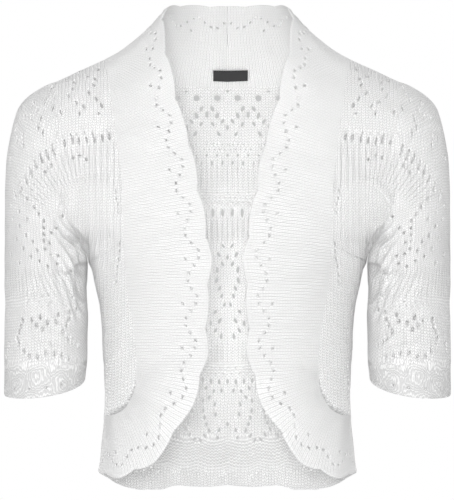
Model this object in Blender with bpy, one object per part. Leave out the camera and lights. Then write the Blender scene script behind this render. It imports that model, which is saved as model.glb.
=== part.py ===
"""A knitted lace shrug, filled out as if worn: back, two fronts, two sleeves and a scalloped band.

Every sheet is a wall of cloth on one general figure. The torso is a height-by-height form, and the sleeves
are rings that turn from the armhole to the cuff. Lengths in the tables are millimetres. +X is the wearer's
left, +Y is behind the wearer and +Z is up. The origin is at the base of the neck, level with the shoulders,
where the garment hangs. Only the +X half is worked out, and the other half is its mirror image.
"""

import math

import bpy
import numpy as np
from mathutils import Vector
from mathutils.kdtree import KDTree

MM = 0.001
WALL = 2.0  # thickness of the knitted cloth
SEAM_GAP = 0.34  # between two pieces that are sewn together
NECK_POINT = 123.5  # where the band's seam crosses the top of the shoulder
SHOULDER_POINT = 172.0  # where the armhole crosses the top of the shoulder
SHOULDER_SLOPE = 0.464
NECK_CLIMB = 0.3  # how steeply the shoulder line starts to climb into the neck
NECK_CURVE = 0.008  # and how quickly it then steepens
ARMPIT_HEIGHT = -203.0
ROLL_FRONT = 60.0  # how far the cloth drops while it turns over the top of the shoulder
ROLL_BACK = 85.0
SCALLOP_LENGTH = 44.0
SCALLOP_DEPTH = 4.0
SCALLOP_ROUNDNESS = 0.6
COLLAR_SCALLOPS = 0.35  # how deep they are at centre back, as a share of those on the fronts
SCALLOPS_END = 30.0  # over which they fade out before the side seam
COLLAR_HOLLOW = 5.0  # how far the collar sinks between its edge and its seam beside the neck
SLEEVE_SAG = 11.0  # how far the cuff dips at the middle of its front and back
BACK_SLEEVE_FULLER = 1.04
ARMPIT_RING = 10.0  # the sleeve's ring at the armpit
ARMPIT_EASE = 1.3  # how much further the sleeve stays from the body there, where the seam turns sharply

FRONT = -1
BACK = 1

# The torso: half its width at each height, and its depth in front of and behind the shoulder line.
TORSO_COLUMNS = ("height", "half_width", "front_depth", "back_depth")
TORSO = (
    (60, 240, 45, 60),
    (20, 240, 56, 72),
    (0, 240, 64, 78),
    (-26, 238, 70, 84),
    (-50, 232, 76, 89),
    (-70, 222, 82, 94),
    (-95, 213, 89, 98),
    (-120, 203, 97, 99),
    (-145, 192, 103, 98),
    (-165, 173, 106, 95),
    (-184, 149, 108, 91),
    (-203, 138.5, 108, 86),
    (-215, 133, 107, 83),
    (-230, 129.6, 105, 79),
    (-255, 126.5, 101, 73),
    (-290, 124.8, 96, 68),
    (-330, 122.6, 91, 67),
    (-370, 124, 90, 71),
    (-412, 129.5, 92, 79),
    (-432, 131, 93, 83),
)

# The sleeve: each ring's two ends, the angle at which it leaves the body and its depth. The first eleven
# rings start on the armhole, and the others go all round the arm.
SLEEVE_COLUMNS = ("inner_x", "inner_height", "outer_x", "outer_height", "start_degrees", "depth")
SLEEVE = (
    (172, -22.5, 212.8, -60, 90, 0),
    (171.5, -27, 214.5, -66, 89, 18),
    (171, -36, 216.5, -74, 87, 33),
    (170, -50, 219, -86, 84, 45),
    (169, -70, 221, -102, 80, 52),
    (168, -95, 222, -122, 77, 56),
    (167, -120, 222.3, -143, 74, 57.5),
    (165, -145, 222.5, -164, 68, 57),
    (156, -165, 222.8, -184, 53, 56),
    (145, -184, 223, -203, 30, 55),
    (138.5, -203, 223, -222, 0, 54),
    (139.5, -228, 222, -243, 0, 52.5),
    (140, -252, 222.5, -265, 0, 51.5),
    (140, -275, 223, -288, 0, 51),
    (140.5, -298, 223.3, -311, 0, 50.5),
    (142.5, -319, 223.8, -335, 0, 50),
)

# The band, from centre back over the shoulder and down the front to the side seam: its free edge, the seam
# that joins it to the panels, and how far it lies on the torso (0 stands clear as a collar, 1 lies on it).
BAND_COLUMNS = ("edge_x", "edge_y", "edge_height", "seam_x", "seam_y", "seam_height", "on_torso")
BAND = (
    (0, 60, 55, 0, 84, -26, 0),
    (33, 52, 56, 50, 78.5, -23.5, 0),
    (46, 41.6, 55.8, 74, 69, -17, 0),
    (55, 29, 55, 95, 54, -10, 0),
    (60, 16, 53.5, 111, 37, -4.5, 0),
    (61.3, 10, 52.3, 119.5, 20, -1.5, 0),
    (61.5, 4, 51, 123.5, 0, 0, 0),
    (64.5, -19, 43, 121.5, -24, -5, 0),
    (63.5, -38, 22, 118, -47, -22, 0),
    (58.5, -55, -3, 115, -61, -42, 0.3),
    (52, -66, -30, 112, -67, -62, 0.7),
    (44, -76, -62, 109, -74, -85, 1),
    (35.5, -84, -90, 106.2, -80, -108, 1),
    (29, -92, -125, 104, -85, -140, 1),
    (21.5, -100, -165, 103, -85, -175, 1),
    (16.5, -107, -202, 101.5, -73, -208, 1),
    (18.5, -104, -228, 99.5, -68, -231, 1),
    (20, -99, -260, 94, -66, -262, 1),
    (20, -95, -290, 91, -65, -290, 1),
    (24.5, -92, -310, 90.5, -63, -307, 1),
    (33, -88, -338, 91, -61, -320, 1),
    (47, -84, -362, 93, -59, -331, 1),
    (62, -79, -385, 96.5, -56, -339, 1),
    (76.5, -74, -402, 102, -50, -347.5, 1),
    (92.5, -65, -409.6, 108.5, -42, -352, 1),
    (110, -49, -415.5, 115.5, -30, -354.5, 1),
    (129.3, 0, -412, 123, 0, -356, 1),
)
SHOULDER_ROW = 6  # the band's section at the top of the shoulder
CORNER_ROW = 20  # the band's section at the lower corner of the front panel

# The lower edge of the back, from centre back to the side seam, in shallow scallops.
BACK_HEM_COLUMNS = ("across", "height")
BACK_HEM = (
    (0, -427),
    (24, -429),
    (52, -427.5),
    (68, -431.3),
    (87, -431.3),
    (100, -429),
    (112, -424.5),
    (121, -418.5),
    (129.6, -413),
)

# Soft folds round the underarm: two ends of each trough, its depth and its width.
FOLD_COLUMNS = ("x_0", "height_0", "x_1", "height_1", "depth", "width")
FOLDS_FRONT = (
    (170, -150, 143, -216, 4.5, 7),
    (177, -166, 146, -246, 5.5, 8),
    (186, -196, 153, -272, 3.5, 9),
)
FOLDS_BACK = (
    (168, -158, 144, -226, 4.5, 8),
    (181, -180, 149, -262, 4, 9),
)

# Heights at which the lace is open enough for the cloth to be cut right through.
LACE_ON_BACK = ((-34, -92), (-142, -160), (-183, -284), (-318, -394))
LACE_ON_SLEEVE = ((-20, -104), (-138, -212), (-248, -330))

# Cells across and down each piece, and how far a hole's corners are drawn in.
NECK_CELLS = 9  # from centre back to the shoulder, on the band and the back, so that their walls match
BACK_CELLS = (14, 29)
FRONT_CELLS = (5, 27)
SLEEVE_CELLS = (11, 25)
BAND_CELLS = (5, 62)
HOLE_TIGHTNESS = 0.3
CURVE_STEPS = 400  # with which a curve is measured before it is divided evenly
SEAM_REACH = 7.0  # a point of another sheet nearer than this lies across the same seam

LABEL_MIDDLE = 3.0  # it is sewn a little to the wearer's left of centre back
LABEL_HALF_WIDTH = 17.5
LABEL_SPAN = (0.79, 0.925)  # between the collar's edge and its seam
LABEL_CELLS = (4, 2)
LABEL_CLEARANCE = 0.3
LABEL_WALL = 0.8

WHITE_KNIT = ((0.86, 0.86, 0.85, 1.0), 0.92)
BLACK_TAPE = ((0.01, 0.01, 0.01, 1.0), 0.6)


def column(table, names, name):
    """One named column of a table, as an array."""
    return np.array([row[names.index(name)] for row in table], float)


def smooth(knots, values, at):
    """Reads a smooth curve through the values that doesn't swing past them."""
    if knots[0] > knots[-1]:
        knots, values = knots[::-1], values[::-1]
    step = np.diff(knots)
    rise = np.diff(values) / step
    slope = np.zeros(len(values))
    slope[0], slope[-1] = rise[0], rise[-1]
    same_way = rise[:-1] * rise[1:] > 0
    pair_sum = np.where(same_way, rise[:-1] + rise[1:], 1)
    slope[1:-1] = np.where(same_way, 2 * rise[:-1] * rise[1:] / pair_sum, 0)
    at = np.clip(at, knots[0], knots[-1])
    k = np.clip(np.searchsorted(knots, at, side="right") - 1, 0, len(step) - 1)
    u = (at - knots[k]) / step[k]
    start = values[k] * (1 + 2 * u) * (1 - u) ** 2 + slope[k] * step[k] * u * (1 - u) ** 2
    end = values[k + 1] * (3 - 2 * u) * u**2 - slope[k + 1] * step[k] * (1 - u) * u**2
    return start + end


def half_width(height):
    knots = column(TORSO, TORSO_COLUMNS, "height")
    return smooth(knots, column(TORSO, TORSO_COLUMNS, "half_width"), height)


def shoulder_line(x):
    """Height of the top of the shoulder, which climbs into the neck inside the neck point."""
    inside = np.clip(NECK_POINT - x, 0, None)
    outside = np.clip(x - NECK_POINT, 0, None)
    return NECK_CLIMB * inside + NECK_CURVE * inside**2 - SHOULDER_SLOPE * outside


def torso_y(x, height, side):
    """How far the torso reaches in front of or behind the shoulder line at a place seen from the front."""
    depth_name, roll = ("front_depth", ROLL_FRONT) if side == FRONT else ("back_depth", ROLL_BACK)
    depth = smooth(column(TORSO, TORSO_COLUMNS, "height"), column(TORSO, TORSO_COLUMNS, depth_name), height)
    across = np.sqrt(np.clip(1 - (x / half_width(height)) ** 2, 0, 1))
    drop = np.clip((shoulder_line(x) - height) / roll, 0, 1)
    return side * depth * across * np.sqrt(1 - (1 - drop) ** 2)


def outer_edge(height):
    """Where a body panel ends: on the armhole above the armpit and on the side seam below it."""
    knots = column(SLEEVE, SLEEVE_COLUMNS, "inner_height")
    armhole = smooth(knots, column(SLEEVE, SLEEVE_COLUMNS, "inner_x"), height)
    return np.where(height > ARMPIT_HEIGHT, armhole, half_width(height))


def levels(cells, soft=0.15):
    """Places from 0 to 1 down a panel, close together where the cloth turns over the shoulder."""
    even = np.linspace(0, 1, cells + 1)
    return np.where(even < soft, even**2 / (2 * soft), even - soft / 2) / (1 - soft / 2)


def band_lengths():
    """Distance along the middle of the band to each of its sections."""
    middle = [
        0.5 * (column(BAND, BAND_COLUMNS, "edge_" + axis) + column(BAND, BAND_COLUMNS, "seam_" + axis))
        for axis in ("x", "y", "height")
    ]
    steps = np.linalg.norm(np.diff(np.stack(middle, 1), axis=0), axis=1)
    return np.concatenate([[0], np.cumsum(steps)])


def band_point(along, across):
    """Points of the band: along it in millimetres, and across it from its free edge (0) to its seam (1)."""
    lengths = band_lengths()
    read = {name: smooth(lengths, column(BAND, BAND_COLUMNS, name), along) for name in BAND_COLUMNS}
    x = read["edge_x"] + (read["seam_x"] - read["edge_x"]) * across
    y = read["edge_y"] + (read["seam_y"] - read["edge_y"]) * across
    height = read["edge_height"] + (read["seam_height"] - read["edge_height"]) * across
    hollow = (1 - read["on_torso"]) * 4 * across * (1 - across)
    height = height - COLLAR_HOLLOW * hollow * np.clip(along / lengths[SHOULDER_ROW], 0, 1)
    on_form = torso_y(x, height, FRONT)
    y = y + (on_form - y) * read["on_torso"]
    return np.stack([x, y, height], -1)


def band_seam(along):
    return band_point(along, np.ones_like(along))


def scallops(along):
    """How far the free edge stands out past its mean line, in rounded lobes with narrow notches."""
    lobes = np.abs(np.cos(math.pi * along / SCALLOP_LENGTH)) ** SCALLOP_ROUNDNESS - SCALLOP_ROUNDNESS
    lengths = band_lengths()
    on_front = np.clip(along / lengths[SHOULDER_ROW], 0, 1) ** 2
    share = COLLAR_SCALLOPS + (1 - COLLAR_SCALLOPS) * on_front
    return SCALLOP_DEPTH * lobes * share * np.clip((lengths[-1] - along) / SCALLOPS_END, 0, 1)


def band_grid(cells):
    lengths = band_lengths()
    collar = np.linspace(0, lengths[SHOULDER_ROW], NECK_CELLS + 1)
    down_front = np.linspace(lengths[SHOULDER_ROW], lengths[-1], cells[1] - NECK_CELLS + 1)
    along = np.concatenate([collar, down_front[1:]])[:, None]
    across = np.linspace(0, 1, cells[0] + 1)[None, :]
    width = np.linalg.norm(band_point(along, 0 * along) - band_seam(along), axis=-1)
    across = across - (1 - across) ** 3 * scallops(along) / width
    return band_point(along + 0 * across, across)


def coons(top, bottom, inner, outer, across, down):
    """Fills a four-sided outline. across runs from inner to outer, and down from top to bottom."""
    w, q = across[None, :, None], down[:, None, None]
    rows = (1 - w) * inner[:, None] + w * outer[:, None]
    columns = (1 - q) * top[None] + q * bottom[None]
    corners = (1 - q) * ((1 - w) * top[0] + w * top[-1]) + q * ((1 - w) * bottom[0] + w * bottom[-1])
    return rows + columns - corners


def turned(x, height):
    """A place seen from the front, as an angle round the torso and a height."""
    return np.stack([np.arcsin(np.clip(x / half_width(height), 0, 1)), height], -1)


def panel_grid(top, bottom, inner, outer, across, down, side):
    """A body panel. It is filled on the torso form, and meets the band's seam where that stands off."""
    flat = [turned(line[:, 0], line[:, 2]) for line in (top, bottom, inner, outer)]
    angle, height = np.moveaxis(coons(*flat, across, down), -1, 0)
    x = half_width(height) * np.sin(angle)
    y = torso_y(x, height, side)
    y = y + (inner[:, 1] - y[:, 0])[:, None] * (1 - across[None, :]) ** 2
    y = y + (top[:, 1] - y[0, :])[None, :] * (1 - down[:, None]) ** 6
    return np.stack([x, y, height], -1)


def line_on_torso(x, height, side):
    return np.stack([x, torso_y(x, height, side), height], -1)


def front_grid(cells):
    lengths = band_lengths()
    across, down = np.linspace(0, 1, cells[0] + 1), levels(cells[1])
    shoulder_x = NECK_POINT + (SHOULDER_POINT - NECK_POINT) * across
    top = line_on_torso(shoulder_x, shoulder_line(shoulder_x), FRONT)
    start, corner = lengths[SHOULDER_ROW], lengths[CORNER_ROW]
    seam = band_seam(np.linspace(start, corner, CURVE_STEPS))
    fall = (seam[0, 2] - seam[:, 2]) / (seam[0, 2] - seam[-1, 2])
    inner = np.stack([np.interp(down, fall, seam[:, k]) for k in range(3)], -1)
    bottom = band_seam(corner + (lengths[-1] - corner) * across)
    height = top[-1, 2] + (bottom[-1, 2] - top[-1, 2]) * down
    outer = line_on_torso(outer_edge(height), height, FRONT)
    return panel_grid(top, bottom, inner, outer, across, down, FRONT)


def back_grid(cells):
    """Half of the back, from centre back to the armhole and side seam."""
    lengths = band_lengths()
    across, down = np.linspace(0, 1, cells[0] + 1), levels(cells[1])
    neck = band_seam(np.linspace(0, lengths[SHOULDER_ROW], NECK_CELLS + 1))
    shoulder_x = np.linspace(NECK_POINT, SHOULDER_POINT, cells[0] - NECK_CELLS + 1)[1:]
    shoulder = line_on_torso(shoulder_x, shoulder_line(shoulder_x), BACK)
    top = np.concatenate([neck, shoulder])
    hem_x = BACK_HEM[-1][0] * np.sin(across * math.pi / 2)
    knots = column(BACK_HEM, BACK_HEM_COLUMNS, "across")
    bottom = line_on_torso(hem_x, smooth(knots, column(BACK_HEM, BACK_HEM_COLUMNS, "height"), hem_x), BACK)
    centre_height = top[0, 2] + (bottom[0, 2] - top[0, 2]) * down
    inner = line_on_torso(0 * down, centre_height, BACK)
    height = top[-1, 2] + (bottom[-1, 2] - top[-1, 2]) * down
    outer = line_on_torso(outer_edge(height), height, BACK)
    return panel_grid(top, bottom, inner, outer, across, down, BACK)


def fold_depth(x, height, folds):
    """How deep the soft folds press the cloth in at a place seen from the front."""
    depth = np.zeros_like(x)
    for x_0, height_0, x_1, height_1, deep, wide in folds:
        run = np.array([x_1 - x_0, height_1 - height_0])
        share = ((x - x_0) * run[0] + (height - height_0) * run[1]) / run.dot(run)
        share = np.clip(share, 0, 1)
        away = np.hypot(x - x_0 - share * run[0], height - height_0 - share * run[1])
        depth += deep * np.sin(math.pi * (0.15 + 0.7 * share)) * np.exp(-((away / wide) ** 2))
    return depth


def sleeve_ring(ring, around, side):
    """Points of half a sleeve. ring counts the table's rows; around is 0 at the body and 1 outside."""
    rows = np.arange(len(SLEEVE), dtype=float)
    read = {name: smooth(rows, column(SLEEVE, SLEEVE_COLUMNS, name), ring) for name in SLEEVE_COLUMNS}
    start = np.radians(read["start_degrees"])
    radius = (read["outer_x"] - read["inner_x"]) / (1 + np.cos(start))
    angle = start + (math.pi - start) * around
    x = read["outer_x"] - radius - radius * np.cos(angle)
    x = x + ARMPIT_EASE * np.exp(-((ring - ARMPIT_RING) ** 2)) * (1 - around) ** 3
    depth = read["depth"] * (BACK_SLEEVE_FULLER if side == BACK else 1)
    y = side * depth * np.sin(angle)
    body_y = torso_y(read["inner_x"], read["inner_height"], side)
    y = y + (body_y - side * depth * np.sin(start)) * (1 - around) ** 3
    sag = SLEEVE_SAG * (ring / rows[-1]) ** 2 * np.sin(math.pi * around)
    height = read["inner_height"] + (read["outer_height"] - read["inner_height"]) * around**1.3 - sag
    folds = FOLDS_FRONT if side == FRONT else FOLDS_BACK
    y = y - side * fold_depth(x, height, folds) * np.sin(math.pi * around)
    return np.stack([x, y, height], -1)


def sleeve_grid(cells, side):
    """Half a sleeve, with its rows evenly spaced down the arm."""
    around = np.linspace(0, 1, cells[0] + 1)[None, :]
    fine = np.linspace(0, len(SLEEVE) - 1, CURVE_STEPS)[:, None]
    steps = np.linalg.norm(np.diff(sleeve_ring(fine, 0.5 + 0 * fine, side)[:, 0], axis=0), axis=-1)
    length = np.concatenate([[0], np.cumsum(steps)])
    ring = np.interp(np.linspace(0, length[-1], cells[1] + 1), length, fine[:, 0])[:, None]
    return sleeve_ring(ring + 0 * around, around + 0 * ring, side)


def label_grid():
    """The face of the tab that lies against the inside of the collar at centre back."""
    along = LABEL_MIDDLE + np.linspace(-LABEL_HALF_WIDTH, LABEL_HALF_WIDTH, 2 * LABEL_CELLS[0] + 1)[:, None]
    across = np.linspace(*LABEL_SPAN, LABEL_CELLS[1] + 1)[None, :]
    points = band_point(np.abs(along) + 0 * across, across + 0 * along)
    points[..., 0] = along + 0 * across
    points[..., 1] -= WALL + LABEL_CLEARANCE
    return points


def draw_in(grid):
    """Moves a sheet's four edges in by half a seam's gap."""
    grid = grid.copy()
    for edge, inside in ((0, 1), (-1, -2)):
        for turned_grid in (grid, np.swapaxes(grid, 0, 1)):
            way = turned_grid[inside] - turned_grid[edge]
            turned_grid[edge] += way / np.linalg.norm(way, axis=-1, keepdims=True) * SEAM_GAP / 2
    return grid


def normals(grid):
    """Unit normals of a grid's points."""
    down, across = np.gradient(grid, axis=0), np.gradient(grid, axis=1)
    normal = np.cross(down, across)
    return normal / np.linalg.norm(normal, axis=-1, keepdims=True)


def rim(shape):
    """Row and column numbers of the points on a grid's edges."""
    rows, columns = shape[:2]
    on_edge = np.ones((rows, columns), bool)
    on_edge[1:-1, 1:-1] = False
    return [(int(i), int(j)) for i, j in np.argwhere(on_edge)]


def share_seam_normals(grids, facing):
    """Gives sheets one common direction along their seam, so that their walls meet without crossing."""
    points = [(name, i, j) for name, grid in grids.items() for i, j in rim(grid.shape)]
    trees = {}
    for name, grid in grids.items():
        edge = rim(grid.shape)
        trees[name] = KDTree(len(edge)), edge
        for k, (i, j) in enumerate(edge):
            trees[name][0].insert(Vector(grid[i, j]), k)
        trees[name][0].balance()
    shared = {name: normal.copy() for name, normal in facing.items()}
    for name, i, j in points:
        total = facing[name][i, j].copy()
        for other, (tree, edge) in trees.items():
            _, k, away = tree.find(Vector(grids[name][i, j]))
            if other != name and away < SEAM_REACH:
                total += facing[other][edge[k]]
        shared[name][i, j] = total / np.linalg.norm(total)
    return shared


def lace_holes(grid, bands_of_lace):
    """Every other cell of every other row, staggered, where the lace is open."""
    holes = []
    for i in range(1, grid.shape[0] - 2):
        for j in range(1, grid.shape[1] - 2):
            height = grid[i : i + 2, j : j + 2, 2].mean()
            open_here = any(low < height < high for high, low in bands_of_lace)
            if open_here and i % 2 == 1 and (j + i // 2) % 2 == 0:
                holes.append((i, j))
    return holes


def tighten(grid, holes):
    """Draws in the corners of each hole's cell, so that the hole is smaller than the cell."""
    grid = grid.copy()
    for i, j in holes:
        cell = grid[i : i + 2, j : j + 2]
        cell += (cell.mean((0, 1)) - cell) * HOLE_TIGHTNESS
    return grid


def wall_object(name, grid, facing, holes, finish, thickness=WALL):
    """A closed wall between a sheet's outer points and the same points moved in."""
    inner = grid - facing * thickness
    rows, columns = grid.shape[:2]
    number = np.arange(rows * columns).reshape(rows, columns)
    kept = [(i, j) for i in range(rows - 1) for j in range(columns - 1) if (i, j) not in set(holes)]
    outer_faces = [(number[i, j], number[i + 1, j], number[i + 1, j + 1], number[i, j + 1]) for i, j in kept]
    far = rows * columns
    inner_faces = [tuple(far + v for v in reversed(face)) for face in outer_faces]
    sides = {(face[k], face[(k + 1) % 4]) for face in outer_faces for k in range(4)}
    edges = sorted(side for side in sides if side[::-1] not in sides)
    rim_faces = [(b, a, far + a, far + b) for a, b in edges]
    points = np.concatenate([grid.reshape(-1, 3), inner.reshape(-1, 3)]) * MM
    mesh = bpy.data.meshes.new(name)
    faces = [tuple(int(v) for v in face) for face in outer_faces + inner_faces + rim_faces]
    mesh.from_pydata([tuple(p) for p in points], [], faces)
    mesh.materials.append(finish)
    mesh.shade_smooth()
    item = bpy.data.objects.new(name, mesh)
    bpy.context.collection.objects.link(item)
    return item


def plain_material(name, look):
    finish = bpy.data.materials.new(name)
    finish.use_nodes = True
    shader = finish.node_tree.nodes["Principled BSDF"]
    shader.inputs["Base Color"].default_value = look[0]
    shader.inputs["Roughness"].default_value = look[1]
    shader.inputs["Metallic"].default_value = 0.0
    return finish


def mirrored(grid):
    """The same sheet on the other side of the body, with its columns reversed so that it still faces out."""
    return grid[:, ::-1] * np.array([-1.0, 1.0, 1.0])


def sheets():
    """Each sheet's outer points by name, all facing out."""
    half_back = back_grid(BACK_CELLS)[:, ::-1]
    left = {
        "front": front_grid(FRONT_CELLS),
        "band": band_grid(BAND_CELLS),
        "sleeve_front": sleeve_grid(SLEEVE_CELLS, FRONT),
        "sleeve_back": sleeve_grid(SLEEVE_CELLS, BACK)[:, ::-1],
    }
    names = {
        "front": "front_{}",
        "band": "band_{}",
        "sleeve_front": "sleeve_{}_front",
        "sleeve_back": "sleeve_{}_back",
    }
    found = {"back": np.concatenate([half_back, mirrored(half_back)[:, 1:]], axis=1)}
    for kind, grid in left.items():
        found[names[kind].format("left")] = grid
        found[names[kind].format("right")] = mirrored(grid)
    return found


def main():
    for item in list(bpy.data.objects):
        bpy.data.objects.remove(item)
    tape = plain_material("black_tape", BLACK_TAPE)
    grids = {name: draw_in(grid) for name, grid in sheets().items()}
    facing = share_seam_normals(grids, {name: normals(grid) for name, grid in grids.items()})
    for name, grid in grids.items():
        bands_of_lace = () if name.startswith("band") else LACE_ON_BACK if name == "back" else LACE_ON_SLEEVE
        holes = lace_holes(grid, bands_of_lace)
        finish = plain_material("knit_" + name, WHITE_KNIT)
        wall_object(name, tighten(grid, holes), facing[name], holes, finish)
    label = label_grid()
    wall_object("neck_label", label, normals(label), [], tape, LABEL_WALL)


main()
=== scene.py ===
import math

import bpy
import numpy as np
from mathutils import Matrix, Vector


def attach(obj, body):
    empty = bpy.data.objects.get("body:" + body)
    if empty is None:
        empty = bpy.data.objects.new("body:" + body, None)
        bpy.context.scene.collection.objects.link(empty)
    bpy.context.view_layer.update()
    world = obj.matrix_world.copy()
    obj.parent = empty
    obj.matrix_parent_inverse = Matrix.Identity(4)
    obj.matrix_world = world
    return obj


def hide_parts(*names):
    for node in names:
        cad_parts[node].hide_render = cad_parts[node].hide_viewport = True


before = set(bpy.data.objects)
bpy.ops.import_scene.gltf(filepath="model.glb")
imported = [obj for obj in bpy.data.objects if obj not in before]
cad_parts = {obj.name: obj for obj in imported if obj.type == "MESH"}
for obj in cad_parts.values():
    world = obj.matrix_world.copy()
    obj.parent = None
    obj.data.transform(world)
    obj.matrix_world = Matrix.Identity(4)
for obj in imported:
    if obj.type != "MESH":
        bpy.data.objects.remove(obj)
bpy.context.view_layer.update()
bpy.ops.object.select_all(action="DESELECT")

# The band
# Two long strips of soft knit that meet at centre back. Each one stands up as the collar, turns over the shoulder,
# lies on the chest and curves away to the side seam. Its free edge is finished in small scallops, a zigzag chain of
# eyelets follows it, and its other edge is sewn to the neck, the front and the hem.

MM = 0.001
FRONT, BACK = -1, 1

TORSO_COLUMNS = ("height", "half_width", "front_depth", "back_depth")
TORSO = (
    (60, 240, 45, 60),
    (20, 240, 56, 72),
    (0, 240, 64, 78),
    (-26, 238, 70, 84),
    (-50, 232, 76, 89),
    (-70, 222, 82, 94),
    (-95, 213, 89, 98),
    (-120, 203, 97, 99),
    (-145, 192, 103, 98),
    (-165, 173, 106, 95),
    (-184, 149, 108, 91),
    (-203, 138.5, 108, 86),
    (-215, 133, 107, 83),
    (-230, 129.6, 105, 79),
    (-255, 126.5, 101, 73),
    (-290, 124.8, 96, 68),
    (-330, 122.6, 91, 67),
    (-370, 124, 90, 71),
    (-412, 129.5, 92, 79),
    (-432, 131, 93, 83),
)
NECK_POINT = 123.5
SHOULDER_SLOPE = 0.464
NECK_CLIMB = (0.3, 0.008)
ROLL = {FRONT: 60.0, BACK: 85.0}

BAND_COLUMNS = ("edge_x", "edge_y", "edge_height", "seam_x", "seam_y", "seam_height", "on_torso")
BAND = (
    (0, 60, 55, 0, 84, -26, 0),
    (33, 52, 56, 50, 78.5, -23.5, 0),
    (46, 41.6, 55.8, 74, 69, -17, 0),
    (55, 29, 55, 95, 54, -10, 0),
    (60, 16, 53.5, 111, 37, -4.5, 0),
    (61.3, 10, 52.3, 119.5, 20, -1.5, 0),
    (61.5, 4, 51, 123.5, 0, 0, 0),
    (64.5, -19, 43, 121.5, -24, -5, 0),
    (63.5, -38, 22, 118, -47, -22, 0),
    (58.5, -55, -3, 115, -61, -42, 0.3),
    (52, -66, -30, 112, -67, -62, 0.7),
    (44, -76, -62, 109, -74, -85, 1),
    (35.5, -84, -90, 106.2, -80, -108, 1),
    (29, -92, -125, 104, -85, -140, 1),
    (21.5, -100, -165, 103, -85, -175, 1),
    (16.5, -107, -202, 101.5, -73, -208, 1),
    (18.5, -104, -228, 99.5, -68, -231, 1),
    (20, -99, -260, 94, -66, -262, 1),
    (20, -95, -290, 91, -65, -290, 1),
    (24.5, -92, -310, 90.5, -63, -307, 1),
    (33, -88, -338, 91, -61, -320, 1),
    (47, -84, -362, 93, -59, -331, 1),
    (62, -79, -385, 96.5, -56, -339, 1),
    (76.5, -74, -402, 102, -50, -347.5, 1),
    (92.5, -65, -409.6, 108.5, -42, -352, 1),
    (110, -49, -415.5, 115.5, -30, -354.5, 1),
    (129.3, 0, -412, 123, 0, -356, 1),
)
SHOULDER_ROW = 6
CORNER_ROW = 20
COLLAR_HOLLOW = 5.0
SCALLOP_LENGTH = 44.0
SCALLOP_DEPTH = 4.0
SCALLOP_ROUNDNESS = 0.6
COLLAR_SCALLOPS = 0.35
SCALLOPS_END = 30.0


def column(table, names, name):
    return np.array([row[names.index(name)] for row in table], float)


def smooth(knots, values, at):
    """Reads a smooth curve through the values that doesn't swing past them."""
    if knots[0] > knots[-1]:
        knots, values = knots[::-1], values[::-1]
    step = np.diff(knots)
    rise = np.diff(values) / step
    slope = np.zeros(len(values))
    slope[0], slope[-1] = rise[0], rise[-1]
    same_way = rise[:-1] * rise[1:] > 0
    pair_sum = np.where(same_way, rise[:-1] + rise[1:], 1)
    slope[1:-1] = np.where(same_way, 2 * rise[:-1] * rise[1:] / pair_sum, 0)
    at = np.clip(at, knots[0], knots[-1])
    k = np.clip(np.searchsorted(knots, at, side="right") - 1, 0, len(step) - 1)
    u = (at - knots[k]) / step[k]
    start = values[k] * (1 + 2 * u) * (1 - u) ** 2 + slope[k] * step[k] * u * (1 - u) ** 2
    end = values[k + 1] * (3 - 2 * u) * u**2 - slope[k + 1] * step[k] * (1 - u) * u**2
    return start + end


def torso(name, height):
    return smooth(column(TORSO, TORSO_COLUMNS, "height"), column(TORSO, TORSO_COLUMNS, name), height)


def shoulder_line(x):
    """Height of the top of the shoulder, which climbs into the neck inside the neck point."""
    inside = np.clip(NECK_POINT - x, 0, None)
    outside = np.clip(x - NECK_POINT, 0, None)
    return NECK_CLIMB[0] * inside + NECK_CLIMB[1] * inside**2 - SHOULDER_SLOPE * outside


def torso_y(x, height, side):
    """How far the torso reaches in front of or behind the shoulder line at a place seen from the front."""
    depth = torso("front_depth" if side == FRONT else "back_depth", height)
    across = np.sqrt(np.clip(1 - (x / torso("half_width", height)) ** 2, 0, 1))
    drop = np.clip((shoulder_line(x) - height) / ROLL[side], 0, 1)
    return side * depth * across * np.sqrt(1 - (1 - drop) ** 2)


def band_lengths():
    """Distance along the middle of the band to each of its sections."""
    middle = [
        0.5 * (column(BAND, BAND_COLUMNS, "edge_" + axis) + column(BAND, BAND_COLUMNS, "seam_" + axis))
        for axis in ("x", "y", "height")
    ]
    steps = np.linalg.norm(np.diff(np.stack(middle, 1), axis=0), axis=1)
    return np.concatenate([[0], np.cumsum(steps)])


def band_point(along, across):
    """Points of the band: along it in millimetres, and across it from its free edge (0) to its seam (1)."""
    lengths = band_lengths()
    read = {name: smooth(lengths, column(BAND, BAND_COLUMNS, name), along) for name in BAND_COLUMNS}
    x = read["edge_x"] + (read["seam_x"] - read["edge_x"]) * across
    y = read["edge_y"] + (read["seam_y"] - read["edge_y"]) * across
    height = read["edge_height"] + (read["seam_height"] - read["edge_height"]) * across
    hollow = (1 - read["on_torso"]) * 4 * across * (1 - across)
    height = height - COLLAR_HOLLOW * hollow * np.clip(along / lengths[SHOULDER_ROW], 0, 1)
    y = y + (torso_y(x, height, FRONT) - y) * read["on_torso"]
    return np.stack([x, y, height], -1)


def band_seam(along):
    return band_point(along, np.ones_like(along))


def scallops(along):
    """How far the free edge stands out past its mean line: rounded lobes with narrow notches between them."""
    lobes = np.abs(np.cos(math.pi * along / SCALLOP_LENGTH)) ** SCALLOP_ROUNDNESS - SCALLOP_ROUNDNESS
    lengths = band_lengths()
    on_front = np.clip(along / lengths[SHOULDER_ROW], 0, 1) ** 2
    share = COLLAR_SCALLOPS + (1 - COLLAR_SCALLOPS) * on_front
    return SCALLOP_DEPTH * lobes * share * np.clip((lengths[-1] - along) / SCALLOPS_END, 0, 1)


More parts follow.
